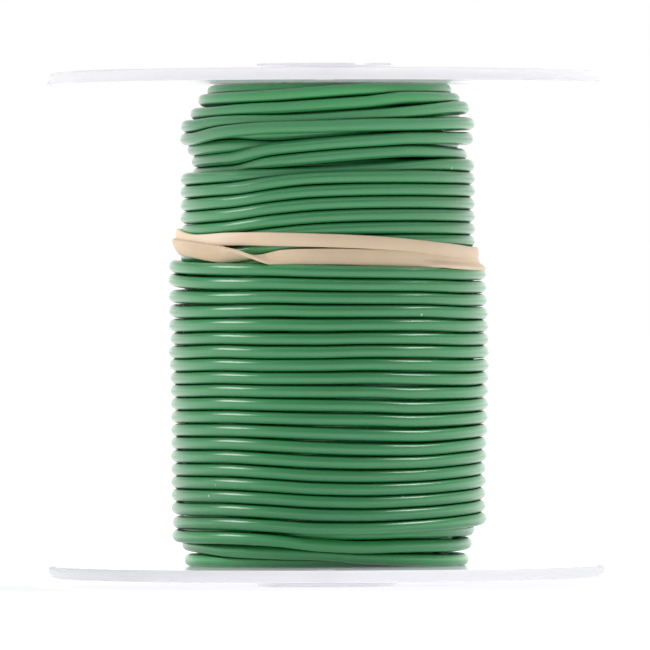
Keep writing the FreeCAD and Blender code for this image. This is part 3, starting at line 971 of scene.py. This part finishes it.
def band_section():
    """Closed outline of the band's section: share of the width, then offset across and out from there."""
    half_thick = BAND_THICKNESS / 2
    quarter = [math.radians(90 * step / 3) for step in range(4)]
    flats = (0.75, 0.5, 0.25, 0.0, -0.25, -0.5, -0.75)
    half = [
        (1.0, BAND_CORNER * (math.cos(way) - 1), half_thick - BAND_CORNER * (1 - math.sin(way)))
        for way in quarter
    ]
    half += [(share, 0.0, half_thick) for share in flats]
    half += [(-share, -across, out) for share, across, out in half[3::-1]]
    return np.array(half + [(-share, -across, -out) for share, across, out in half])


def rubber_band():
    """The band swept along its line with its roll, width and curled lower edge, its two ends welded."""
    columns = [np.array(column, float) for column in zip(*BAND_LINE)]
    at = np.linspace(-180, 540, BAND_STEPS + 1)
    height, radius, roll, width, curl = (through(columns[0], column, at) for column in columns[1:])
    centre = on_drum(at, radius, height)
    tangent = np.gradient(centre, axis=0)
    tangent /= np.linalg.norm(tangent, axis=1)[:, None]
    outward = on_drum(at, np.ones_like(at), np.zeros_like(at)) / MM
    outward -= tangent * (outward * tangent).sum(1)[:, None]
    outward /= np.linalg.norm(outward, axis=1)[:, None]
    upward = np.cross(tangent, -outward)
    upward *= np.sign(upward[:, 2:3])
    lean = np.radians(roll)[:, None]
    across = upward * np.cos(lean) + outward * np.sin(lean)
    out = outward * np.cos(lean) - upward * np.sin(lean)
    section = band_section()
    wide = section[:, 0] * width[:, None] / 2 + section[:, 1]
    thick = section[:, 2] - BOW * np.cos(lean) * (2 * wide / width[:, None]) ** 2
    past = np.clip(wide - CURL_FROM, 0, None)
    bend = np.radians(curl)[:, None] * np.clip(past / CURL_OVER, 0, 1)
    curled_wide = wide - past + past * np.cos(bend) + thick * np.sin(bend)
    curled_thick = thick * np.cos(bend) - past * np.sin(bend)
    points = centre[:, None] + (
        curled_wide[:, :, None] * across[:, None] + curled_thick[:, :, None] * out[:, None]
    ) * MM
    build = bmesh.new()
    along_layer = build.verts.layers.float.new("along")
    across_layer = build.verts.layers.float.new("across")
    light_and_stretch_layer = build.verts.layers.float.new("tone")
    band_light_and_stretch = np.interp(at, *zip(*BAND_LIGHT_AND_STRETCH))
    lengths = np.concatenate(([0], np.cumsum(np.linalg.norm(np.diff(centre, axis=0), axis=1))))
    rings = []
    for number, ring in enumerate(points):
        verts = []
        for offset, point in zip(wide[number], ring):
            vert = build.verts.new(point)
            vert[along_layer] = lengths[number]
            vert[across_layer] = offset * MM
            vert[light_and_stretch_layer] = band_light_and_stretch[number]
            verts.append(vert)
        rings.append(verts)
    count = len(section)
    for ring, following in zip(rings, rings[1:]):
        for i in range(count):
            j = (i + 1) % count
            face = build.faces.new((ring[i], ring[j], following[j], following[i]))
            face.smooth = True
    bmesh.ops.remove_doubles(build, verts=rings[0] + rings[-1], dist=2e-6)
    bmesh.ops.recalc_face_normals(build, faces=build.faces)
    mesh = bpy.data.meshes.new("twisted_band")
    build.to_mesh(mesh)
    build.free()
    mesh.materials.append(RUBBER)
    made = bpy.data.objects.new("twisted_band", mesh)
    bpy.context.scene.collection.objects.link(made)
    return made


keep(rubber_band(), "rubber_band")


# The spool's own mouldings

for name in ("upper_flange", "lower_flange", "barrel"):
    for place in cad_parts[name].material_slots:
        place.material = POLYSTYRENE


# Stage, light and camera

CARD_SIZE = 90                    # in metres, so that the card's edge is far out of view
LAMP_DISTANCE = 0.9               # in metres, from the middle of the spool
LENS, SENSOR = 751.0, 36.0        # in millimetres
FAR_CLIP = 50.0                   # in metres

scene = bpy.context.scene
bpy.ops.mesh.primitive_plane_add(size=CARD_SIZE)
card = bpy.context.object
card.name = "white_card"
card.data.materials.append(studio_sweep())

world = bpy.data.worlds.new("studio")
scene.world = world
world.use_nodes = True
sky = world.node_tree
sky.nodes.clear()
path = add(sky, "ShaderNodeLightPath")
ray = add(sky, "ShaderNodeTexCoord")
way = add(sky, "ShaderNodeSeparateXYZ", {0: ray.outputs["Generated"]})
# softly lit room: brightest near the horizon, dimmer overhead
dimmer = add(
    sky,
    "ShaderNodeMapRange",
    {"Value": way.outputs["Z"], "From Min": 0.0, "From Max": 0.5, "To Min": 1.0, "To Max": 0.15},
)
mirrored = add(
    sky,
    "ShaderNodeMapRange",
    {"Value": way.outputs["Z"], "From Min": 0.1, "From Max": 0.5, "To Min": 1.0, "To Max": 0.16},
)
room_level = add(
    sky,
    "ShaderNodeMix",
    {0: path.outputs["Is Glossy Ray"], FIRST_VALUE: dimmer.outputs[0], SECOND_VALUE: mirrored.outputs[0]},
    data_type="FLOAT",
)
# and dimmer in front of the spool than at its sides and behind it
sides = add(
    sky,
    "ShaderNodeMapRange",
    {"Value": way.outputs["Y"], "From Min": -1.0, "From Max": -0.25, "To Min": 0.46, "To Max": 1.4},
)
right = add(
    sky,
    "ShaderNodeMapRange",
    {"Value": way.outputs["X"], "From Min": -0.5, "From Max": 0.5, "To Min": 1.0, "To Max": 1.14},
)
around = add(sky, "ShaderNodeMath", {0: sides.outputs[0], 1: right.outputs[0]}, operation="MULTIPLY")
level = add(sky, "ShaderNodeMath", {0: room_level.outputs[0], 1: around.outputs[0]}, operation="MULTIPLY")
seen = add(
    sky,
    "ShaderNodeMix",
    {0: path.outputs["Is Camera Ray"], FIRST_VALUE: level.outputs[0], SECOND_VALUE: 1.0},
    data_type="FLOAT",
)
room = add(sky, "ShaderNodeBackground", {"Color": (1, 1, 1, 1), "Strength": seen.outputs[0]})
add(sky, "ShaderNodeOutputWorld", {"Surface": room.outputs[0]})


def soft_light(name, direction, width, height, power):
    """Softbox that faces the middle of the spool from a direction, sizes in metres."""
    lamp = bpy.data.lights.new(name, "AREA")
    lamp.shape = "RECTANGLE"
    lamp.size, lamp.size_y = width, height
    lamp.energy = power
    made = bpy.data.objects.new(name, lamp)
    target = Vector((0, 0, AXIS_HALF * MM))
    aim = Vector(direction).normalized()
    made.location = target + aim * LAMP_DISTANCE
    made.rotation_mode = "QUATERNION"
    made.rotation_quaternion = aim.to_track_quat("Z", "Y")
    scene.collection.objects.link(made)


soft_light("left_softbox", (-0.80, -0.07, 0.59), width=0.42, height=0.26, power=3.5)
soft_light("right_softbox", (0.52, 0.10, 0.78), width=0.46, height=0.28, power=5.0)
soft_light("top_softbox", (0.0, 0.0, 1.0), width=0.5, height=0.5, power=0.4)

DISTANCE = 2168.0                 # from the lens to the spool's axis, in millimetres
ROLL = math.radians(0.16)         # the photograph's own slight lean
SHIFT, PICTURE = -0.8, 650        # how far the view is shifted, and the picture's width, in pixels
camera_data = bpy.data.cameras.new("camera")
camera_data.sensor_width = SENSOR
camera_data.lens = LENS
camera_data.clip_end = FAR_CLIP
camera_data.shift_x = SHIFT / PICTURE
camera = bpy.data.objects.new("camera", camera_data)
camera.location = (0, -DISTANCE * MM, AXIS_HALF * MM)
camera.rotation_mode = "QUATERNION"
upright = Quaternion((1, 0, 0), math.radians(90))
camera.rotation_quaternion = upright @ Quaternion((0, 0, 1), -ROLL)
scene.collection.objects.link(camera)
scene.camera = camera
scene.view_settings.view_transform = "Standard"
